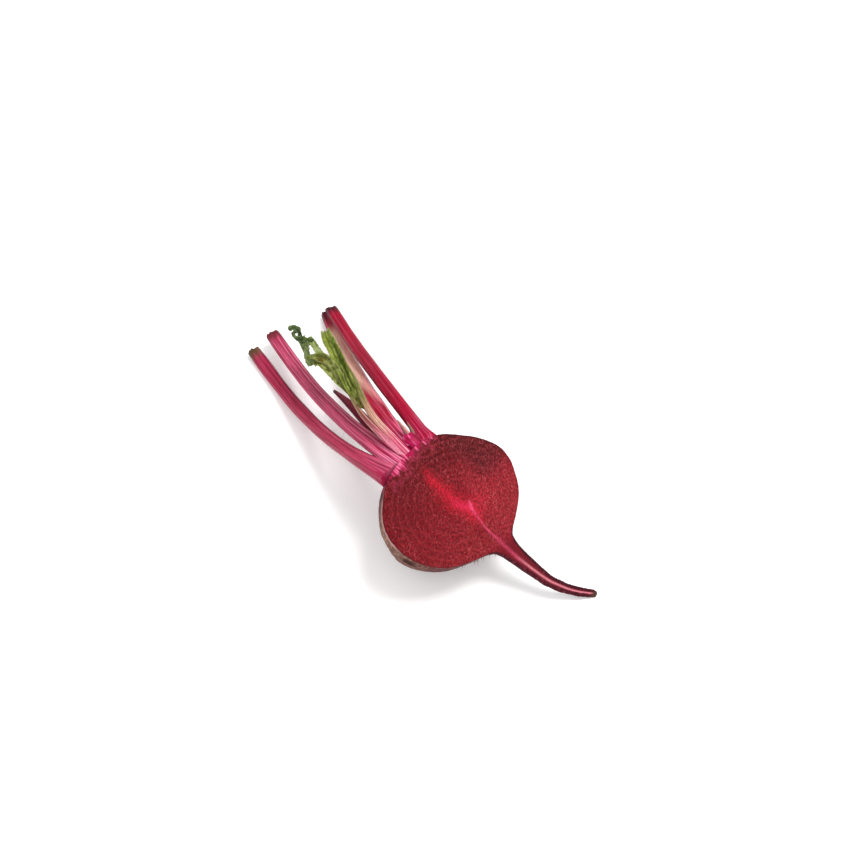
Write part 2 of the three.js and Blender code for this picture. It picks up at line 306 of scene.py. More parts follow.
def smooth_through(pairs):
    """A smooth curve through (x, y) pairs that never overshoots them, as a function of an array."""
    x, y = np.array(pairs, float).T
    slope = np.diff(y) / np.diff(x)
    before = np.r_[slope[0], slope]
    after = np.r_[slope, slope[-1]]
    same_way = before * after > 0
    tangent = np.where(same_way, 2 * before * after / np.where(same_way, before + after, 1), 0)

    def evaluate(at):
        at = np.asarray(at, float)
        k = np.clip(np.searchsorted(x, at) - 1, 0, len(x) - 2)
        run = x[k + 1] - x[k]
        u = np.clip((at - x[k]) / run, 0, 1)
        return cubic(u, run, y[k], y[k + 1], tangent[k], tangent[k + 1])

    return evaluate


root_radius = smooth_through(ROOT_RADIUS)
root_across = smooth_through(ROOT_ACROSS)
root_depth = smooth_through(ROOT_DEPTH)


def ramp(low, high, value):
    """A soft ramp from 0 at low to 1 at high, which may also be the lower of the two."""
    u = np.clip((np.asarray(value, float) - low) / (high - low), 0, 1)
    return u * u * (3 - 2 * u)


def bump(value, middle, spread):
    """A soft hill of height 1 round middle."""
    return np.exp(-(((np.asarray(value, float) - middle) / spread) ** 2))


def perlin(points, scale, seed=0):
    """Smooth noise of about -1 to 1 at each point, with features of about 1 / scale."""
    moved = np.asarray(points, float) * scale + 17.3 * seed
    flat = moved.reshape(-1, 3)
    values = [noise.noise(Vector(p)) for p in flat.tolist()]
    return np.array(values).reshape(moved.shape[:-1])


def turns(count):
    """Angles all the way round."""
    return 2 * np.pi * np.arange(count) / count


def distances(points):
    """How far along a line of points each one is."""
    return np.r_[0, np.cumsum(np.linalg.norm(np.diff(points, axis=0), axis=1))]


def from_face(points):
    """Points of the cut face's frame in the part's frame."""
    return FACE_MIDDLE + points @ np.array([ALONG, ACROSS, OUT])


def quads_between(grid):
    """Quads between neighbours in a grid of point numbers."""
    corners = [grid[:-1, :-1], grid[:-1, 1:], grid[1:, 1:], grid[1:, :-1]]
    return np.stack(corners, -1).reshape(-1, 4).tolist()


def open_tube(rings, sides):
    """Faces between rings of points."""
    grid = np.arange(rings * sides).reshape(rings, sides)
    return quads_between(np.concatenate([grid, grid[:, :1]], 1))


def closed_tube(rings, sides):
    """Faces between rings of points, and a cap at each end."""
    first = list(range(sides))
    return [*open_tube(rings, sides), first[::-1], [(rings - 1) * sides + k for k in first]]


def add_object(name, data):
    added = bpy.data.objects.new(name, data)
    bpy.context.scene.collection.objects.link(added)
    return added


def make_piece(name, points, faces, materials, replaced, attributes, face_material=None):
    """A mesh piece from points in millimetres that rides on the part's one body."""
    mesh = bpy.data.meshes.new(name)
    mesh.from_pydata((np.asarray(points) * MM).tolist(), [], faces)
    for material in materials:
        mesh.materials.append(material)
    if face_material is not None:
        mesh.polygons.foreach_set("material_index", face_material)
    for key, values in attributes.items():
        values = np.asarray(values, float)
        kind, field = ("FLOAT", "value") if values.ndim == 1 else ("FLOAT_VECTOR", "vector")
        if key == "paint":
            kind, field = "FLOAT_COLOR", "color"
            values = np.concatenate([values, np.ones((len(values), 1))], 1)
        mesh.attributes.new(key, kind, "POINT").data.foreach_set(field, values.ravel())
    mesh.validate()
    mesh.shade_smooth()
    mesh.set_sharp_from_angle(angle=math.radians(SHARP_EDGE))
    piece = add_object(name, mesh)
    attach(piece, "root")
    if replaced:
        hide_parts(*replaced)
    return piece


def linear(colour):
    """The linear values for nodes that look like an sRGB colour of 0 to 255 in this bright studio."""
    c = np.array(colour, float) / 255
    c = np.where(c <= 0.04045, c / 12.92, ((c + 0.055) / 1.055) ** 2.4)
    return (*(c / LIGHT_LEVEL).tolist(), 1.0)


class Paint:
    """A colour for each point, built up in layers."""

    def __init__(self, count, colour):
        self.values = np.tile(linear(colour)[:3], (count, 1))

    def over(self, amount, colour):
        amount = np.clip(np.asarray(amount, float), 0, 1).reshape(-1, 1)
        self.values = self.values * (1 - amount) + np.array(linear(colour)[:3]) * amount


class Shader:
    """A material whose node tree is built with short calls."""

    def __init__(self, name, roughness, specular):
        self.material = bpy.data.materials.new(name)
        self.material.use_nodes = True
        self.tree = self.material.node_tree
        self.surface = self.tree.nodes["Principled BSDF"]
        self.give("Roughness", roughness)
        self.give("Specular IOR Level", specular)

    def set(self, socket, value):
        if isinstance(value, bpy.types.NodeSocket):
            self.tree.links.new(value, socket)
        else:
            socket.default_value = value

    def give(self, name, value):
        self.set(self.surface.inputs[name], value)

    def add(self, kind, inputs, output=0, **properties):
        """One output of a new node that has these inputs and properties."""
        node = self.tree.nodes.new(kind)
        for key, value in properties.items():
            setattr(node, key, value)
        for key, value in inputs.items():
            self.set(node.inputs[key], value)
        return node.outputs[output]

    def attribute(self, name, output="Fac"):
        return self.add("ShaderNodeAttribute", {}, output, attribute_name=name)

    def noise(self, vector, scale, detail=2.0, roughness=0.5):
        inputs = {"Vector": vector, "Scale": scale, "Detail": detail, "Roughness": roughness}
        return self.add("ShaderNodeTexNoise", inputs, "Fac")

    def cells(self, vector, scale):
        return self.add("ShaderNodeTexVoronoi", {"Vector": vector, "Scale": scale}, "Distance")

    def stretch(self, vector, factors):
        return self.add("ShaderNodeVectorMath", {0: vector, 1: factors}, operation="MULTIPLY")

    def shift(self, vector, offset):
        return self.add("ShaderNodeVectorMath", {0: vector, 1: offset}, operation="ADD")

    def math(self, operation, first, second=0.0):
        return self.add("ShaderNodeMath", {0: first, 1: second}, operation=operation)

    def between(self, value, low, high, to_low=0.0, to_high=1.0):
        """value taken from low..high to to_low..to_high, softly and without going past them."""
        inputs = {"From Min": low, "From Max": high, "To Min": to_low, "To Max": to_high}
        inputs["Value"] = value
        return self.add("ShaderNodeMapRange", inputs, interpolation_type="SMOOTHSTEP")

    def mix(self, amount, first, second, blend="MIX"):
        """A mix of two colours, given as sRGB of 0 to 255 or as sockets."""
        first, second = (linear(c) if isinstance(c, tuple) else c for c in (first, second))
        inputs = {"Factor": amount, 6: first, 7: second}
        return self.add("ShaderNodeMix", inputs, 2, data_type="RGBA", blend_type=blend)

    def relief(self, height, distance, strength):
        """Bumps of the given height in metres."""
        inputs = {"Height": height, "Distance": distance, "Strength": strength}
        self.give("Normal", self.add("ShaderNodeBump", inputs))


def flesh_material():
    """Cut flesh: painted crimson, with a grain of dark hollows and pale, wavy, upright flecks."""
    m = Shader("beet_flesh", roughness=0.45, specular=0.05)
    at = m.attribute("grain_at", "Vector")
    grain = m.noise(at, 1.15, detail=2)
    patch = m.noise(m.shift(at, (31.0, 17.0, 5.0)), 1.3, detail=1)
    wave = m.noise(m.shift(at, (7.0, 53.0, 9.0)), 0.58, detail=1.5)
    paint = m.attribute("paint", "Color")
    colour = m.mix(m.attribute("grainy"), paint, m.between(grain, 0.36, 0.64, 0.54, 1.3), "MULTIPLY")
    crest = m.between(m.math("ABSOLUTE", m.math("SUBTRACT", wave, 0.5)), 0.05, 0.007)
    fleck = m.math("MULTIPLY", crest, m.between(patch, 0.42, 0.58, 0.15, 1.0))
    pale = m.mix(0.42, paint, (230, 104, 108))
    colour = m.mix(m.math("MULTIPLY", fleck, m.attribute("specks")), colour, pale)
    m.give("Base Color", colour)
    m.relief(m.math("ADD", grain, m.math("MULTIPLY", fleck, 0.5)), 0.0004, 0.6)
    return m.material


def skin_material():
    """Dull purple-brown skin with dusty patches, cork lines and dark spots, pale at one side.

    The pale side is partly pale cork and partly painted light reflected from the floor.
    """
    m = Shader("beet_skin", roughness=0.65, specular=0.04)
    at = m.attribute("face_at", "Vector")
    patches = m.noise(at, 0.07, detail=4)
    dust = m.noise(m.stretch(at, (1.6, 0.7, 0.7)), 0.5, detail=5, roughness=0.65)
    lines = m.noise(m.stretch(at, (3.0, 0.35, 0.35)), 0.6, detail=3)
    spots = m.cells(m.stretch(at, (1.0, 0.8, 0.8)), 0.16)
    colour = m.mix(m.between(patches, 0.35, 0.65), (72, 26, 34), (110, 58, 62))
    colour = m.mix(m.between(dust, 0.42, 0.68, 0.0, 0.6), colour, (140, 96, 96))
    colour = m.mix(m.between(lines, 0.58, 0.72, 0.0, 0.5), colour, (88, 52, 48))
    # Pale side: pale cork, lightened further by painted light reflected from the floor
    pale = m.mix(m.between(dust, 0.38, 0.64), (126, 86, 74), (178, 140, 120))
    colour = m.mix(m.attribute("pale"), colour, pale)
    colour = m.mix(m.attribute("rim"), colour, (226, 178, 174))
    colour = m.mix(m.between(spots, 0.16, 0.08, 0.0, 0.4), colour, (78, 44, 40))
    root = m.mix(m.between(dust, 0.4, 0.6), (56, 22, 26), (104, 56, 58))
    colour = m.mix(m.attribute("taproot"), colour, root)
    colour = m.mix(m.attribute("spot"), colour, (66, 34, 28))
    crown = m.mix(m.between(lines, 0.4, 0.6), (116, 20, 48), (172, 50, 86))
    colour = m.mix(m.attribute("crown"), colour, crown)
    m.give("Base Color", colour)
    m.relief(m.math("ADD", dust, lines), 0.0005, 0.6)
    return m.material


def root_parameters():
    """Stations along the root, spaced evenly along its outline, with radius, drift and heading."""
    fine = np.linspace(ROOT_RADIUS[0][0], ROOT_RADIUS[-1][0], OUTLINE_SAMPLES)
    travelled = distances(np.stack([fine, root_radius(fine)], 1))
    along = np.interp(np.linspace(0, travelled[-1], ROOT_RINGS), travelled, fine)
    step = 0.5
    slope = (root_across(along + step) - root_across(along - step)) / (2 * step)
    heading = np.arctan(slope) * ramp(TAPROOT_START, TAPROOT_THIN, along)
    return along, root_radius(along), root_across(along), heading


def root_face_marks(face):
    """The cut face's colours, and how strong its grain and specks are, at points of its frame."""
    s, t = face[:, 0], face[:, 1]
    radius = root_radius(s)
    aside = t - root_across(s)
    inside = radius - np.abs(aside)
    part = np.abs(aside) / np.maximum(radius, 0.1)
    body = ramp(32, 25, s)
    cloud = perlin(face, 0.11, 5)
    fleck = perlin(face, 0.35, 6)

    paint = Paint(len(face), (128, 18, 29))
    paint.over(0.8 * ramp(0, -22, s - 0.3 * t) + 0.3 * cloud, (86, 8, 15))
    paint.over(0.5 * ramp(-3, -17, t) * ramp(3, -9, s), (98, 8, 18))
    paint.over(0.55 * ramp(9, 1, inside) * ramp(2, -14, t) * body, (112, 6, 16))
    paint.over(0.6 * ramp(-2, 12, t) * ramp(-16, -2, s) + 0.3 * cloud, (158, 34, 46))
    paint.over(0.85 * ramp(14, 25, t) * ramp(10, -2, s), (86, 22, 27))
    paint.over(0.5 * bump(s, -6, 6) * bump(t, 10, 7), (112, 14, 22))
    # The side towards the taproot turns a lighter, duller red: partly the flesh's own tone, partly
    # painted sheen
    paint.over(0.5 * ramp(4, 16, s) * body * (0.7 + fleck), (150, 40, 46))

    # Faint rings nest round the core, as in every beetroot
    distance = np.hypot((s - 1) / 28, (t - 0.5) / 36) + 0.014 * perlin(face, 0.12, 8)
    rings = sum(bump(distance, middle, 0.02) for middle in (0.34, 0.47, 0.6, 0.72, 0.83, 0.92))
    paint.over(0.16 * rings * body, (176, 62, 68))

    streak = t - smooth_through(STREAK_LINE)(s)
    spread = smooth_through(STREAK_SPREAD)(s) * (1 + 0.5 * perlin(face, 0.3, 3))
    glow = bump(streak, 0, spread) * ramp(-22, -12, s) * ramp(20, 10, s)
    paint.over(0.85 * glow, (198, 28, 48))
    paint.over(0.5 * bump(s, 8.5, 5) * bump(t, 8, 7.5), (196, 34, 54))
    hot = bump(s, 5.6, 5.2) * bump(streak, 0.6, 2)
    paint.over(0.9 * hot * (0.85 + 0.4 * fleck), (226, 44, 84))

    neck = ramp(18, 30, s) * bump(np.where(s < 30, streak, aside), 0.6, 4.5)
    paint.over(0.8 * neck * ramp(33, 26, s), (144, 30, 47))
    paint.over(0.8 * neck * ramp(26, 33, s), (110, 24, 36))
    core = bump(t, smooth_through(CORE_LINE)(s), smooth_through(CORE_WIDTH)(s))
    core = core * smooth_through(CORE_STRENGTH)(s)
    paint.over(core * ramp(46, 34, s), (240, 84, 122))
    paint.over(core * ramp(34, 46, s), (236, 138, 152))

    # The skin shows dark along the thin taproot's edges
    threshold = smooth_through(TAPROOT_SKIN)(s)
    ragged = 0.12 * perlin(face, 0.9, 12)
    edge = ramp(threshold + ragged - 0.08, threshold + ragged + 0.08, part) * ramp(25, 29, s)
    paint.over(edge, (74, 18, 30))
    paint.over(0.7 * edge * ramp(0.1, 0.5, perlin(face, 0.8, 13)), (124, 50, 62))
    paint.over(0.7 * bump(inside, 0, 0.5) * body * ramp(10, -10, t), (78, 20, 26))
    paint.over(ramp(72.5, 73.8, s), (84, 58, 48))

    # The crown's tissue, where the stalks begin, is pink
    streaks = perlin(face * np.array([0.18, 1.6, 1]), 0.9, 11)
    ragged_edge = 2.6 * perlin(face * np.array([0.4, 1, 1]), 0.6, 15)
    crown = ramp(-24.6, -27.4, s + ragged_edge)
    blush = ramp(-19, -26, s + 2 * ragged_edge) * ramp(-0.1, 0.25, fleck)
    paint.over(0.45 * blush, (176, 52, 84))
    paint.over(0.85 * crown, (186, 20, 78))
    paint.over(crown * ramp(0, 0.3, streaks), (250, 116, 160))

    grainy = body * (1 - 0.6 * hot) * (1 - 0.7 * crown) * (1 - 0.5 * core) + 0.35 * (1 - body)
    specks = 0.75 + 0.25 * ramp(-10, 12, t) * ramp(-24, 0, s) + 0.6 * cloud
    specks = 0.9 * body * np.clip(specks, 0.3, 1) * ramp(0, 1.2, inside)
    specks = specks * (1 - 0.8 * np.clip(hot + glow + core + crown, 0, 1))
    return paint.values, grainy, specks, core, rings * body


def crown_mound():
    """The mound of crown tissue: its points, its faces and its points in the cut face's frame."""
    around, rings = 48, 30
    polar = np.linspace(0.04, np.pi - 0.04, rings)[:, None]
    turn = turns(around)
    unit = [-np.cos(polar), np.sin(polar) * np.cos(turn), np.sin(polar) * np.sin(turn)]
    unit = np.stack(np.broadcast_arrays(*unit), -1)
    swell = 1 + 0.06 * perlin(unit * np.array([0.4, 2.5, 2.5]), 1.2, 14)
    at = (MOUND_MIDDLE + unit * MOUND_REACH * swell[..., None]).reshape(-1, 3)
    at[:, 2] = np.minimum(at[:, 2], -UNDER_FACE)
    return from_face(at), closed_tube(rings, around), at


def make_root():
    along, radius, drift, heading = (values[:, None] for values in root_parameters())
    angle = np.pi + np.pi * np.arange(SKIN_COLUMNS + 1) / SKIN_COLUMNS
    s, a = np.broadcast_arrays(along, angle)
    rough = np.stack([s, radius * np.cos(a), radius * np.sin(a)], -1)
    body = ramp(34, 26, s)
    lumps = 0.35 * perlin(rough, 0.07, 1) * body + (0.26 - 0.1 * body) * perlin(rough, 0.35, 2)
    cork = 0.14 * perlin(rough * np.array([2.4, 0.4, 0.4]), 0.7, 4)
    growth = (lumps + cork) * ramp(0, 2.5, radius)
    aside = (radius + growth) * np.cos(a)
    skin_along = s - aside * np.sin(heading)
    skin_across = drift + aside * np.cos(heading)
    skin_out = (radius * root_depth(along) + growth) * np.sin(a)
    skin_out[:, [0, -1]] = 0
    skin = np.stack([skin_along, skin_across, skin_out], -1)

    part = np.arange(1, FACE_COLUMNS) / FACE_COLUMNS
    face = skin[:, :1] * (1 - part)[:, None] + skin[:, -1:] * part[:, None]
    flat = face.reshape(-1, 3)
    core, rings = root_face_marks(flat)[3:]
    grain = 0.1 * perlin(flat, 0.85, 6) + 0.07 * perlin(flat, 0.25, 8)
    relief = grain + 0.16 * core - 0.05 * rings
    edge = np.minimum(part, 1 - part) * 2
    fade = ramp(0.3, 4, radius) * ramp(0, 0.06, edge)
    flat[:, 2] = relief * fade.ravel()

    both = np.concatenate([skin.reshape(-1, 3), flat])
    points = from_face(both)
    points[:, 2] = np.maximum(points[:, 2], 0)

    # The cut face's grid begins and ends on the skin's own edge
    count = skin[..., 0].size
    skin_grid = np.arange(count).reshape(ROOT_RINGS, -1)
    face_grid = count + np.arange(len(flat)).reshape(ROOT_RINGS, -1)
    face_grid = np.concatenate([skin_grid[:, :1], face_grid, skin_grid[:, -1:]], 1)
    skin_faces = [quad[::-1] for quad in quads_between(skin_grid)]
    cut_faces = quads_between(face_grid)
    first, last = (np.r_[skin_grid[row], face_grid[row, -2:0:-1]].tolist() for row in (0, -1))
    faces = [*skin_faces, *cut_faces, first, last[::-1]]
    kinds = [1] * len(skin_faces) + [0] * len(cut_faces) + [1, 1]

    paint, grainy, specks = root_face_marks(both)[:3]
    s, t, w = both.T
    across = (t - root_across(s)) / np.maximum(root_radius(s), 0.1)
    # The pale band of skin on one side: partly the skin's pale cork, partly painted light reflected up
    # from the floor
    pale = ramp(0.35, 0.85, -across) * ramp(-26, -10, s)
    pale *= (1 - 0.45 * ramp(-10, 6, s)) * (1 - 0.75 * ramp(4, 17, s))
    spot = bump(s, 4.4, 2.4) * bump(w, -4.8, 2) * (across < -0.5)
    rim = 0.85 * bump(w, 0, 1.3) * ramp(0.5, 0.8, -across)
    rim *= ramp(2, -6, s) * ramp(-25, -20, s)
    mound_points, mound_faces, mound_at = crown_mound()
    faces += [[index + len(points) for index in face] for face in mound_faces]
    kinds += [2] * len(mound_faces)
    points = np.concatenate([points, mound_points])
    attributes = {
        "paint": paint, "grainy": grainy, "specks": specks, "face_at": both,
        "grain_at": np.stack([0.7 * (0.8 * t - 0.6 * s), 1.2 * (0.8 * s + 0.6 * t), w], -1),
        "taproot": ramp(26, 33, s), "crown": ramp(-23.5, -26, s), "pale": pale,
        "spot": np.clip(2.6 * spot, 0, 1), "rim": rim, "strand": np.zeros_like(both),
    }
    mound = {key: np.zeros((len(mound_at), *values.shape[1:])) for key, values in attributes.items()}
    mound["strand"] = np.stack([1.4 * mound_at[:, 1], 0.25 * mound_at[:, 0], mound_at[:, 2]], -1)
    streaks = perlin(mound_at * np.array([0.12, 1, 1]), 0.9, 16)
    mound_paint = Paint(len(mound_at), (196, 6, 86))
    mound_paint.over(ramp(0.05, 0.35, streaks), (248, 110, 164))
    mound_paint.over(ramp(0.1, 0.4, -streaks), (150, 18, 56))
    mound["paint"] = mound_paint.values
    attributes = {key: np.concatenate([values, mound[key]]) for key, values in attributes.items()}
    crown = fibre_material("crown_flesh", roughness=0.4, specular=0.12, depth=0.0002)
    materials = [flesh_material(), skin_material(), crown]
    return make_piece("cut_root", points, faces, materials, ["half_root"], attributes, kinds)


def frames_along(middles, up):
    """Unit vectors ahead, aside and above at each point of a line."""
    ahead = np.gradient(middles, axis=0)
    ahead /= np.linalg.norm(ahead, axis=1)[:, None]
    aside = np.cross(up, ahead)
    aside /= np.linalg.norm(aside, axis=1)[:, None]
    return ahead, aside, np.cross(ahead, aside)


def set_off(middles, aside, above, x, y):
    """Rings of points, x aside and y above each of the middles."""
    return middles[:, None] + x[..., None] * aside[:, None] + y[..., None] * above[:, None]


def as_piece(line, x, y, over):
    """A closed piece of points x aside and y above a leaf's line, with where each lies on it."""
    middles, aside, above, part, along = line
    points = set_off(middles, aside, above, x, y)
    rings, sides = x.shape
    return {
        "points": points.reshape(-1, 3), "faces": closed_tube(rings, sides),
        "part": np.repeat(part[:, 0], sides), "along": np.repeat(along[:, 0], sides),
        "over": np.broadcast_to(over, (rings, sides)).ravel(), "lateral": x.ravel(),
    }


def evenly(points, count):
    """count points spaced evenly along a fine line of points, and its length."""
    travelled = distances(points)
    at = np.linspace(0, travelled[-1], count)
    return np.stack([np.interp(at, travelled, points[:, k]) for k in range(3)], 1), travelled[-1]


def bezier(path, count):
    a, b, c, d = np.array(path, float)
    u = np.linspace(0, 1, BEZIER_SAMPLES)[:, None]
    v = 1 - u
    return evenly(v ** 3 * a + 3 * v * v * u * b + 3 * v * u * u * c + u ** 3 * d, count)


def curve_through(path, count):
    """A smooth line through all the points of a path."""
    p = np.array(path, float)
    chord = distances(p)
    tangent = np.gradient(p, chord, axis=0)
    at = np.linspace(0, chord[-1], CURVE_SAMPLES)
    k = np.clip(np.searchsorted(chord, at) - 1, 0, len(p) - 2)
    run = (chord[k + 1] - chord[k])[:, None]
    u = (at - chord[k])[:, None] / run
    return evenly(cubic(u, run, p[k], p[k + 1], tangent[k], tangent[k + 1]), count)


def along_leaf(path, rings):
    """Middles along a leaf's path, the directions aside and above, and parts and places along."""
    middles, length = curve_through(path, rings)
    part = np.linspace(0, 1, rings)[:, None]
    return middles, *frames_along(middles, LEAF_FACING)[1:], part, part * length


def noise_on_tube(angle, along, scale, seed, rounds=1.3):
    """Noise on a tube's surface, without a seam, from angles and distances along it."""
    a, u = np.broadcast_arrays(angle, along)
    return perlin(np.stack([rounds * np.cos(a), u * scale, rounds * np.sin(a)], -1), 1, seed)


def under_face(points):
    """Brings points near the crown down to just under the plane of the cut, and tells which ones."""
    over = (points - FACE_MIDDLE) @ OUT + UNDER_FACE
    sliced = (over > 0) & (points[:, 0] > SLICED_UP_TO)
    points[sliced] -= over[sliced, None] * OUT
    return sliced


def fibre_material(name, roughness, specular, depth):
    """Plant skin in its painted colours, with fine lengthwise fibres in tone and in relief."""
    m = Shader(name, roughness, specular)
    strand = m.attribute("strand", "Vector")
    fibres = m.noise(strand, 1.6, detail=3, roughness=0.6)
    fine = m.noise(strand, 4.5, detail=2)
    paint = m.attribute("paint", "Color")
    colour = m.mix(1.0, paint, m.between(fibres, 0.34, 0.66, 0.84, 1.12), "MULTIPLY")
    colour = m.mix(1.0, colour, m.between(fine, 0.35, 0.65, 0.9, 1.08), "MULTIPLY")
    m.give("Base Color", colour)
    m.relief(m.math("ADD", fibres, m.math("MULTIPLY", fine, 0.5)), depth, 0.5)
    return m.material


def stalk_paint(stalk, seed, angle, part, to_end, sliced):
    """The stalk's colours, from angles (0 faces up and to the front) and parts of the length.

    Lengthwise stripes of painted highlight and painted shade follow how the light falls round it.
    """
    streak = noise_on_tube(angle, part, 4, seed + 20, rounds=4)
    patch = noise_on_tube(angle, part, 9, seed + 21, rounds=1)
    threads = noise_on_tube(angle, part, 6, seed + 23, rounds=9)
    degrees = np.degrees(np.angle(np.exp(1j * angle)))
    paint = Paint(angle.size, stalk["body"])
    paint.over(0.4 * ramp(0.05, 0.5, streak) + 0.25 * patch, stalk["groove"])
    paint.over(0.25 * ramp(0.1, 0.5, -streak), stalk["ridge_and_highlight"])
    lighter = (np.array(stalk["body"]) + stalk["ridge_and_highlight"]) / 2
    paint.over(0.5 * ramp(0.1, 0.35, threads), lighter)
    paint.over(0.4 * ramp(0.12, 0.4, -threads), stalk["groove"])
    # Stalk 4's pale peach band along its lit flank is a painted highlight
    if stalk is STALKS["leaf_stalk_4"]:
        peach_highlight = ramp(-70, -30, degrees) * ramp(82, 62, degrees)
        peach_highlight *= ramp(-0.1, 0.1, part - 0.42 + 0.0018 * degrees)
        peach_highlight *= ramp(0.93, 0.84, part)
        paint.over(0.95 * peach_highlight, (255, 200, 180))
        paint.over(0.6 * peach_highlight * bump(degrees, 34, 9), (246, 146, 134))
        paint.over(0.5 * peach_highlight * ramp(0, 0.5, patch), (255, 216, 190))
    # The light stripes are painted highlights in the ridge colour, the dark ones painted shade in the
    # groove colour
    for key, colour in (("dark", stalk["groove"]), ("light", stalk["ridge_and_highlight"])):
        for middle, spread, start, stop, strength in stalk[key]:
            amount = strength * bump(degrees + 3 * patch, middle, spread) * (0.85 + 0.4 * streak)
            if start > 0:
                amount = amount * ramp(start - 0.04, start + 0.04, part)
            if stop < 1:
                amount = amount * ramp(stop + 0.06, stop - 0.06, part)
            paint.over(amount, colour)
    # Painted shade on the underside, turned away from the light
    paint.over(0.4 * ramp(95, 125, np.abs(degrees)), stalk["groove"])

    # Bright pink and magenta strands at the crown
    base = ramp(0.2, 0.05, part) * stalk["pink"]
    paint.over(0.8 * base, (204, 26, 84))
    strands = noise_on_tube(angle, part, 2.5, seed + 22, rounds=6)
    paint.over(1.1 * base * ramp(0.03, 0.16, strands), (255, 140, 178))
    paint.over(1.1 * base * ramp(0.1, 0.24, -strands), (122, 0, 40))
    if stalk is STALKS["leaf_stalk_1"]:
        scar = bump(degrees + 14 * streak, -92, 8) * bump(part, 0.09, 0.035)
        paint.over(0.9 * scar, (240, 200, 196))
    paint.over(0.5 * sliced * stalk["pink"] * ramp(-0.1, 0.15, strands), (244, 116, 158))

    # The trimmed end is dry and brown
    dark, pale = stalk["end"]
    dry = ramp(1.4, 0.3, to_end / (stalk["end_reach"] * (1 + 0.6 * streak)))
    paint.over(0.92 * dry, dark)
    paint.over(0.7 * dry * ramp(0.05, 0.4, patch + 0.5 * streak), pale)
    paint.over(0.9 * bump(to_end, 0, 0.9), dark)
    return paint


def make_stalk(name, stalk, seed):
    middles, length = bezier(stalk["path"], STALK_RINGS)
    ahead, aside, above = frames_along(middles, [0, 0, 1])
    part = np.linspace(0, 1, STALK_RINGS)[:, None]
    half = smooth_through(stalk["widths"])(part) / 2
    angle = turns(STALK_SIDES)[None, :]
    along = part * length
    to_end = length - along

    from_top = np.cos(angle) / CHANNEL_SPREAD
    hollow = np.where(np.sin(angle) > 0, CHANNEL_DEPTH * np.exp(-from_top ** 2), 0)
    wave = noise_on_tube(angle * 0, along, 0.02, seed)
    ribs = STALK_RIB_HEIGHT * np.cos(STALK_RIBS * angle + 0.8 * wave)
    lumps = noise_on_tube(angle, along, 0.06, seed + 1)
    lumps = lumps + noise_on_tube(angle * 0, along, 0.035, seed + 2)
    shrivel = 0.07 * np.exp(-to_end / 4) * (1 + noise_on_tube(angle, along, 0.3, seed + 3, rounds=2))
    swell = 1 + ribs + 0.05 * lumps - shrivel
    x = half * swell * np.cos(angle)
    y = half * stalk["thickness"] * (swell - hollow) * np.sin(angle)
    points = set_off(middles, aside, above, x, y)
    ragged = noise_on_tube(angle, angle * 0, 0, seed + 5, rounds=2.2)
    slant = 0.6 * np.cos(angle - 0.7 - seed) + 0.9 * ragged
    points += (slant * np.exp(-to_end / 2.0))[..., None] * ahead[:, None]

    # The cap sinks into the end in a few rings, with a ragged pith
    caps = [(0.93, 0.05), (0.84, -0.35), (0.65, -0.7), (0.4, -0.6), (0.2, -0.8)]
    rim = points[-1]
    centre = rim.mean(0)
    pith = 0.3 * noise_on_tube(angle, angle * 0, 0, seed + 6, rounds=3)[0]
    extra = [
        centre + (rim - centre) * keep + (sink + pith * (keep < 0.9))[:, None] * ahead[-1]
        for keep, sink in caps
    ]
    rings = np.concatenate([points, np.array(extra)])
    flat = rings.reshape(-1, 3)
    sliced = under_face(flat)
    flat[:, 2] = np.maximum(flat[:, 2], 0)

    faces = open_tube(len(rings), STALK_SIDES)
    last = (len(rings) - 1) * STALK_SIDES
    faces += [[len(flat), last + k, last + (k + 1) % STALK_SIDES] for k in range(STALK_SIDES)]
    faces.append(list(range(STALK_SIDES))[::-1])

    middle_ring = STALK_RINGS // 2
    facing = math.atan2(LEAF_FACING @ above[middle_ring], LEAF_FACING @ aside[middle_ring])
    all_angles = np.broadcast_to(angle, (len(rings), STALK_SIDES)).ravel()
    all_parts = np.concatenate([part[:, 0], np.ones(len(caps))]).repeat(STALK_SIDES)
    end_distance = (1 - all_parts) * length
    paint = stalk_paint(stalk, seed, all_angles - facing, all_parts, end_distance, sliced)
    flat = np.concatenate([flat, [extra[-1].mean(0)]])
    strand = [3 * np.cos(all_angles), 0.05 * length * all_parts, 3 * np.sin(all_angles) + seed]
    strand = np.stack(strand, -1)
    attributes = {
        "paint": np.concatenate([paint.values, paint.values[-1:]]),
        "strand": np.concatenate([strand, strand[-1:]]),
    }
    material = fibre_material(name + "_skin", roughness=0.36, specular=0.08, depth=0.0002)
    return make_piece(name + "_looks", flat, faces, [material], [name], attributes)


def there_and_back(upper, lower):
    """A blade's columns across its upper side and back across its lower side."""
    return np.concatenate([upper, lower[:, -2:0:-1]], 1)


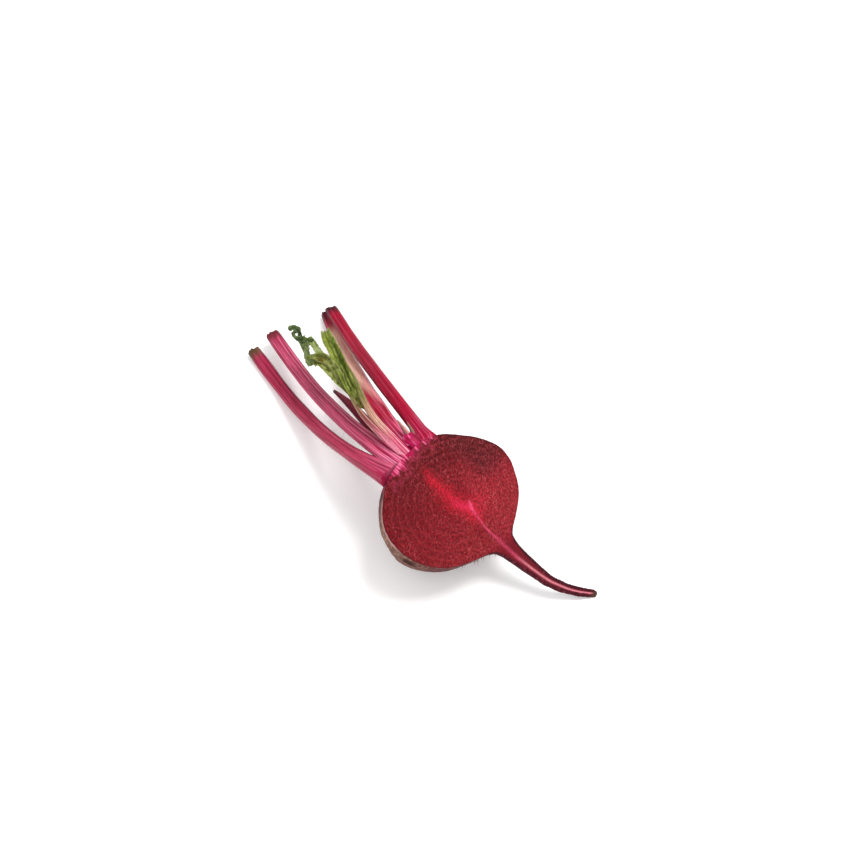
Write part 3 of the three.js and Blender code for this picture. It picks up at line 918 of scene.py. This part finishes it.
def ribbon(
    path, left, right, seed, rings, columns, fold, ruffle, ragged, pleat=0.0, blade=0.4, rib=0.9,
):
    """A leaf blade along a path, as points, faces and where each point lies on it.

    left and right are (part of the length, reach in millimetres) pairs. fold, ruffle and pleat are
    how far the blade is folded along its rib, how far its margins wave and how high its pleats
    are; ragged is how uneven its outline is. blade and rib are the thicknesses at the margins and
    along the middle.
    """
    line = along_leaf(path, rings)
    part, along = line[3:]
    x = np.linspace(1, -1, columns + 1)[None, :]
    plane = np.stack(np.broadcast_arrays(along, 3.0 * np.sign(x), 0 * x), -1)
    to_left, to_right = smooth_through(left)(part), smooth_through(right)(part)
    reach = np.where(x > 0, to_left, to_right)
    reach = reach * (1 + ragged * perlin(plane, 0.9, seed) + ragged * perlin(plane, 0.4, seed + 1))
    lateral = reach * x
    size = np.minimum(1, np.maximum(to_left, to_right) / 2)
    where = np.stack([along + 0 * x, lateral, 0 * lateral], -1)
    height = fold * size * (np.abs(x) ** 1.2 - 0.55) * (1 - 0.8 * ramp(0.82, 1, part))
    height = height + ruffle * size * x ** 2 * perlin(plane, 0.28, seed + 2) * 1.6
    height = height + 0.35 * ruffle * size * perlin(where, 0.55, seed + 3)
    height = height + pleat * size * np.cos(7 * x + 2.2 * perlin(plane, 0.09, seed + 4))
    half = (blade + (rib - blade) * bump(x, 0, 0.22)) * (0.4 + 0.6 * size) / 2
    half = half * np.sqrt(np.maximum(1 - x ** 4, 0))
    y = there_and_back(height + half, height - half)
    return as_piece(line, there_and_back(lateral, lateral), y, there_and_back(x, x))


def tube(path, radii, seed, rings, sides, ridges=0.0):
    """A thin round stalk along a path, with the same fields as a ribbon."""
    line = along_leaf(path, rings)
    part, along = line[3:]
    angle = turns(sides)[None, :]
    uneven = 0.06 * noise_on_tube(angle, along, 0.25, seed, rounds=1.6) + ridges * np.cos(6 * angle)
    radius = smooth_through(radii)(part) * (1 + uneven)
    return as_piece(line, radius * np.cos(angle), radius * np.sin(angle), np.cos(angle))


def young_stalk_paint(piece, seed, middle, strip, green_from):
    """A young leaf's thin stalk: pink at the crown, then pale, then green under the blade."""
    angle = piece["over"] * 2.2
    streak = noise_on_tube(angle, piece["part"], 3, seed, rounds=3)
    paint = Paint(len(angle), middle)
    paint.over(0.9 * ramp(0.02, 0.22, streak), strip)
    paint.over(0.8 * ramp(0.02, 0.25, -streak), (242, 206, 184))
    low = ramp(0.36, 0.1, piece["part"])
    paint.over(0.9 * low, (244, 98, 144))
    paint.over(low * ramp(0.06, 0.22, streak), (186, 14, 78))
    paint.over(0.8 * low * ramp(0.08, 0.25, -streak), (255, 184, 200))
    green = ramp(green_from, green_from + 0.24, piece["part"])
    paint.over(0.9 * green, (128, 134, 62))
    for groove in (-0.36, 0.3):
        line = bump(piece["over"], groove, 0.09)
        paint.over(0.75 * line * (1 - green) * (1 - 0.6 * low), (128, 52, 44))
        paint.over(0.6 * line * green, (92, 98, 30))
    return paint


def blade_paint(piece, seed, green, light, dark, crease, lengthwise=0.45):
    """A young blade: green with painted shade in its crease, light margins, lighter veins
    and olive patches.
    """
    at = np.stack([lengthwise * piece["along"], piece["lateral"], 0 * piece["along"]], -1)
    spot = perlin(at, 0.7, seed)
    fine = perlin(at, 1.7, seed + 1)
    over = piece["over"]
    paint = Paint(len(over), green)
    paint.over(0.9 * ramp(0.0, 0.4, spot + 0.4 * fine), light)
    paint.over(0.85 * ramp(0.05, 0.4, -spot + 0.3 * fine), dark)
    # Painted shade along the crease of the fold
    paint.over(crease * bump(over, 0.05 + 0.3 * spot, 0.16), dark)
    paint.over(0.5 * ramp(0.12, 0.35, fine), light)
    paint.over(0.5 * ramp(0.75, 1, np.abs(over)), light)
    return paint


def join(pieces):
    """Several bodies as one set of points, faces and attributes."""
    faces, strands = [], []
    offset = 0
    for order, piece in enumerate(pieces):
        faces += [[index + offset for index in face] for face in piece["faces"]]
        offset += len(piece["points"])
        layer = np.full(len(piece["points"]), 3.0 * order)
        strands.append(np.stack([piece["lateral"] * 0.9, piece["along"] * 0.25, layer], -1))
    points = np.concatenate([piece["points"] for piece in pieces])
    paint = np.concatenate([piece["paint"].values for piece in pieces])
    return points, faces, {"paint": paint, "strand": np.concatenate(strands)}


def finish_leaf(replaced, pieces):
    """The leaf's bodies as the one piece that takes the place of its CAD node."""
    name = replaced + "_looks"
    points, faces, attributes = join(pieces)
    under_face(points)
    material = fibre_material(name + "_skin", roughness=0.5, specular=0.25, depth=0.00025)
    return make_piece(name, points, faces, [material], [replaced], attributes)


def make_young_leaf_1():
    radii = [(0, 2.0), (0.4, 1.5), (0.75, 1.2), (1, 0.6)]
    stem = tube(LEAF_1_STALK, radii, seed=31, rings=120, sides=48, ridges=0.1)
    stem["paint"] = young_stalk_paint(stem, 32, (234, 168, 140), (194, 108, 84), green_from=0.4)
    edge = ribbon(
        LEAF_1_BLADE,
        [(0, 2.2), (0.1, 2.8), (0.25, 2.6), (0.4, 2.4), (0.6, 2.4), (0.8, 2.5), (0.93, 2.3), (1, 1.7)],
        [(0, 1.2), (0.2, 2.2), (0.4, 2.9), (0.6, 3.3), (0.8, 3.2), (0.93, 2.7), (1, 1.9)],
        fold=2.2, ruffle=2.2, seed=33, rings=200, columns=40, ragged=0.1, pleat=0.4,
    )
    greens = ((124, 140, 42), (168, 178, 84), (70, 88, 8))
    paint = blade_paint(edge, 34, *greens, crease=0.5, lengthwise=0.22)
    part, over = edge["part"], edge["over"]
    # Painted shade in the blade's two creases, and a painted highlight on its left side further out
    paint.over(0.6 * bump(over, -0.35, 0.16) * ramp(0.15, 0.35, part), (48, 66, 2))
    paint.over(0.6 * bump(over, 0.3, 0.12) * ramp(0.7, 0.45, part), (56, 74, 4))
    paint.over(0.5 * ramp(0.45, 0.7, part) * bump(over, 0.5, 0.4), (172, 186, 74))
    paint.over(0.7 * ramp(0.3, 0.0, part), (112, 98, 36))
    paint.over(0.8 * ramp(0.965, 0.995, part), (190, 186, 142))
    edge["paint"] = paint
    return finish_leaf("young_leaf_1", [stem, edge])


def make_young_leaf_2():
    radii = [(0, 1.7), (0.3, 1.3), (0.48, 1.0), (0.66, 0.5), (1, 0.3)]
    stem = tube(LEAF_2_STALK, radii, seed=41, rings=120, sides=48, ridges=0.1)
    stem["paint"] = young_stalk_paint(stem, 42, (188, 108, 106), (126, 56, 54), green_from=0.36)
    pieces = [stem]
    for order, (path, left, right, form, colours, crease) in enumerate(LEAF_2_PARTS.values()):
        seed = 43 + 2 * order
        piece = ribbon(path, left, right, seed, *form)
        piece["paint"] = blade_paint(piece, seed + 1, *colours, crease=crease)
        pieces.append(piece)
    main = pieces[1]
    withered = bump(main["part"], 0.78, 0.08) * bump(main["over"], 0, 0.4)
    main["paint"].over(0.6 * withered, (126, 88, 30))
    return finish_leaf("young_leaf_2", pieces)


def make_bud(name, path, reach, seed, colours):
    """A small pointed bract, cupped along its length."""
    reaches = [(0, 0.7 * reach), (0.35, reach), (0.75, 0.55 * reach), (1, 0.06)]
    bract = ribbon(
        path, reaches, reaches, seed, rings=50, columns=14, fold=-0.7, ruffle=0.15, ragged=0.06,
        blade=0.3, rib=0.6,
    )
    base, edge, shade, tip = colours
    paint = Paint(len(bract["over"]), base)
    paint.over(0.85 * ramp(0.1, 0.8, -bract["over"]), edge)
    paint.over(0.8 * ramp(0.2, 0.9, bract["over"]), shade)
    paint.over(0.7 * ramp(0.45, 0.05, bract["part"]), (190, 60, 96))
    paint.over(0.7 * ramp(0.6, 0.95, bract["part"]), tip)
    bract["paint"] = paint
    return finish_leaf(name, [bract])


def make_root_hairs():
    """Fine dry hairs in a tuft under the neck, and a few along the taproot."""
    chance = np.random.default_rng(7)
    hairs = []
    for order in range(TUFT_HAIRS + TAPROOT_HAIRS):
        tuft = order < TUFT_HAIRS
        s = TUFT_ALONG + chance.normal(0, 1.9) if tuft else chance.uniform(30, 66)
        around = math.radians(chance.uniform(182, 205) if tuft else chance.uniform(182, 358))
        side = np.array([math.cos(around), math.sin(around)])
        r = float(root_radius(s)) - 0.3
        length = chance.uniform(0.7, 2.2) if tuft else chance.uniform(0.6, 1.4)
        lean = chance.uniform(-0.2, 0.9)
        start = np.array([s, float(root_across(s)) + r * side[0], r * side[1]])
        outward = np.array([lean, side[0], side[1]])
        bend = [chance.uniform(-0.5, 0.7), chance.uniform(-0.3, 0.3), -chance.uniform(0.1, 0.8)]
        u = np.array([0, 0.3, 0.6, 0.85, 1])[:, None]
        path = from_face(start + outward * length * u + np.array(bend) * length * u * u)
        thick = chance.uniform(0.08, 0.14)
        radii = [(0, thick), (0.6, 0.6 * thick), (1, 0.03)]
        hair = tube(path, radii, seed=60 + order, rings=14, sides=6)
        hair["points"][:, 2] = np.maximum(hair["points"][:, 2], 0.02)
        hair["paint"] = Paint(len(hair["over"]), (134, 92, 90) if tuft else (98, 52, 54))
        hairs.append(hair)
    points, faces, attributes = join(hairs)
    material = fibre_material("root_hair_skin", roughness=0.6, specular=0.2, depth=0.00002)
    return make_piece("root_hairs", points, faces, [material], [], attributes)


def make_camera():
    """Looks along the photograph's own direction, with the cut face where it is in its frame."""
    level, rise = math.cos(VIEW_ELEVATION), math.sin(VIEW_ELEVATION)
    right = Vector((math.cos(VIEW_AZIMUTH), math.sin(VIEW_AZIMUTH), 0))
    back = Vector((right.y * level, -right.x * level, rise))
    up = back.cross(right)
    distance = MM_PER_PIXEL * IMAGE_SIZE * LENS / SENSOR
    aside = (FACE_MIDDLE_PIXEL[0] - IMAGE_SIZE / 2) * MM_PER_PIXEL
    below = (FACE_MIDDLE_PIXEL[1] - IMAGE_SIZE / 2) * MM_PER_PIXEL
    data = bpy.data.cameras.new("camera")
    data.lens = LENS
    data.sensor_width = SENSOR
    data.clip_start = 0.01
    camera = add_object("camera", data)
    camera.location = (Vector(FACE_MIDDLE) + back * distance - right * aside + up * below) * MM
    camera.rotation_euler = back.to_track_quat("Z", "Y").to_euler()
    bpy.context.scene.camera = camera


def area_light(name, toward, distance, size, power):
    """A square soft light that shines on the part from the given direction."""
    data = bpy.data.lights.new(name, "AREA")
    data.size = size
    data.energy = power
    light = add_object(name, data)
    light.location = Vector(toward).normalized() * distance
    light.rotation_euler = Vector(toward).to_track_quat("Z", "Y").to_euler()


def make_studio():
    white = Shader("white_floor", roughness=0.9, specular=0.1)
    white.give("Base Color", (0.9, 0.9, 0.9, 1))
    white.give("Emission Color", (1, 1, 1, 1))
    white.give("Emission Strength", FLOOR_GLOW)
    mesh = bpy.data.meshes.new("floor")
    corners = [(x * FLOOR_REACH, y * FLOOR_REACH, 0) for x, y in ((-1, -1), (1, -1), (1, 1), (-1, 1))]
    mesh.from_pydata(corners, [], [(0, 1, 2, 3)])
    mesh.materials.append(white.material)
    floor = add_object("floor", mesh)
    world = bpy.data.worlds.new("studio")
    world.use_nodes = True
    background = world.node_tree.nodes["Background"]
    background.inputs["Color"].default_value = (1, 1, 1, 1)
    background.inputs["Strength"].default_value = WORLD_GLOW
    bpy.context.scene.world = world
    for name, light in LIGHTS.items():
        area_light(name, *light)
    bpy.context.scene.view_settings.view_transform = "Standard"


make_camera()
make_studio()
make_root()
make_root_hairs()
for order, (stalk_name, stalk_shape) in enumerate(STALKS.items()):
    make_stalk(stalk_name, stalk_shape, order)
make_young_leaf_1()
make_young_leaf_2()
for bud_name, bud in BUDS.items():
    make_bud(bud_name, **bud)
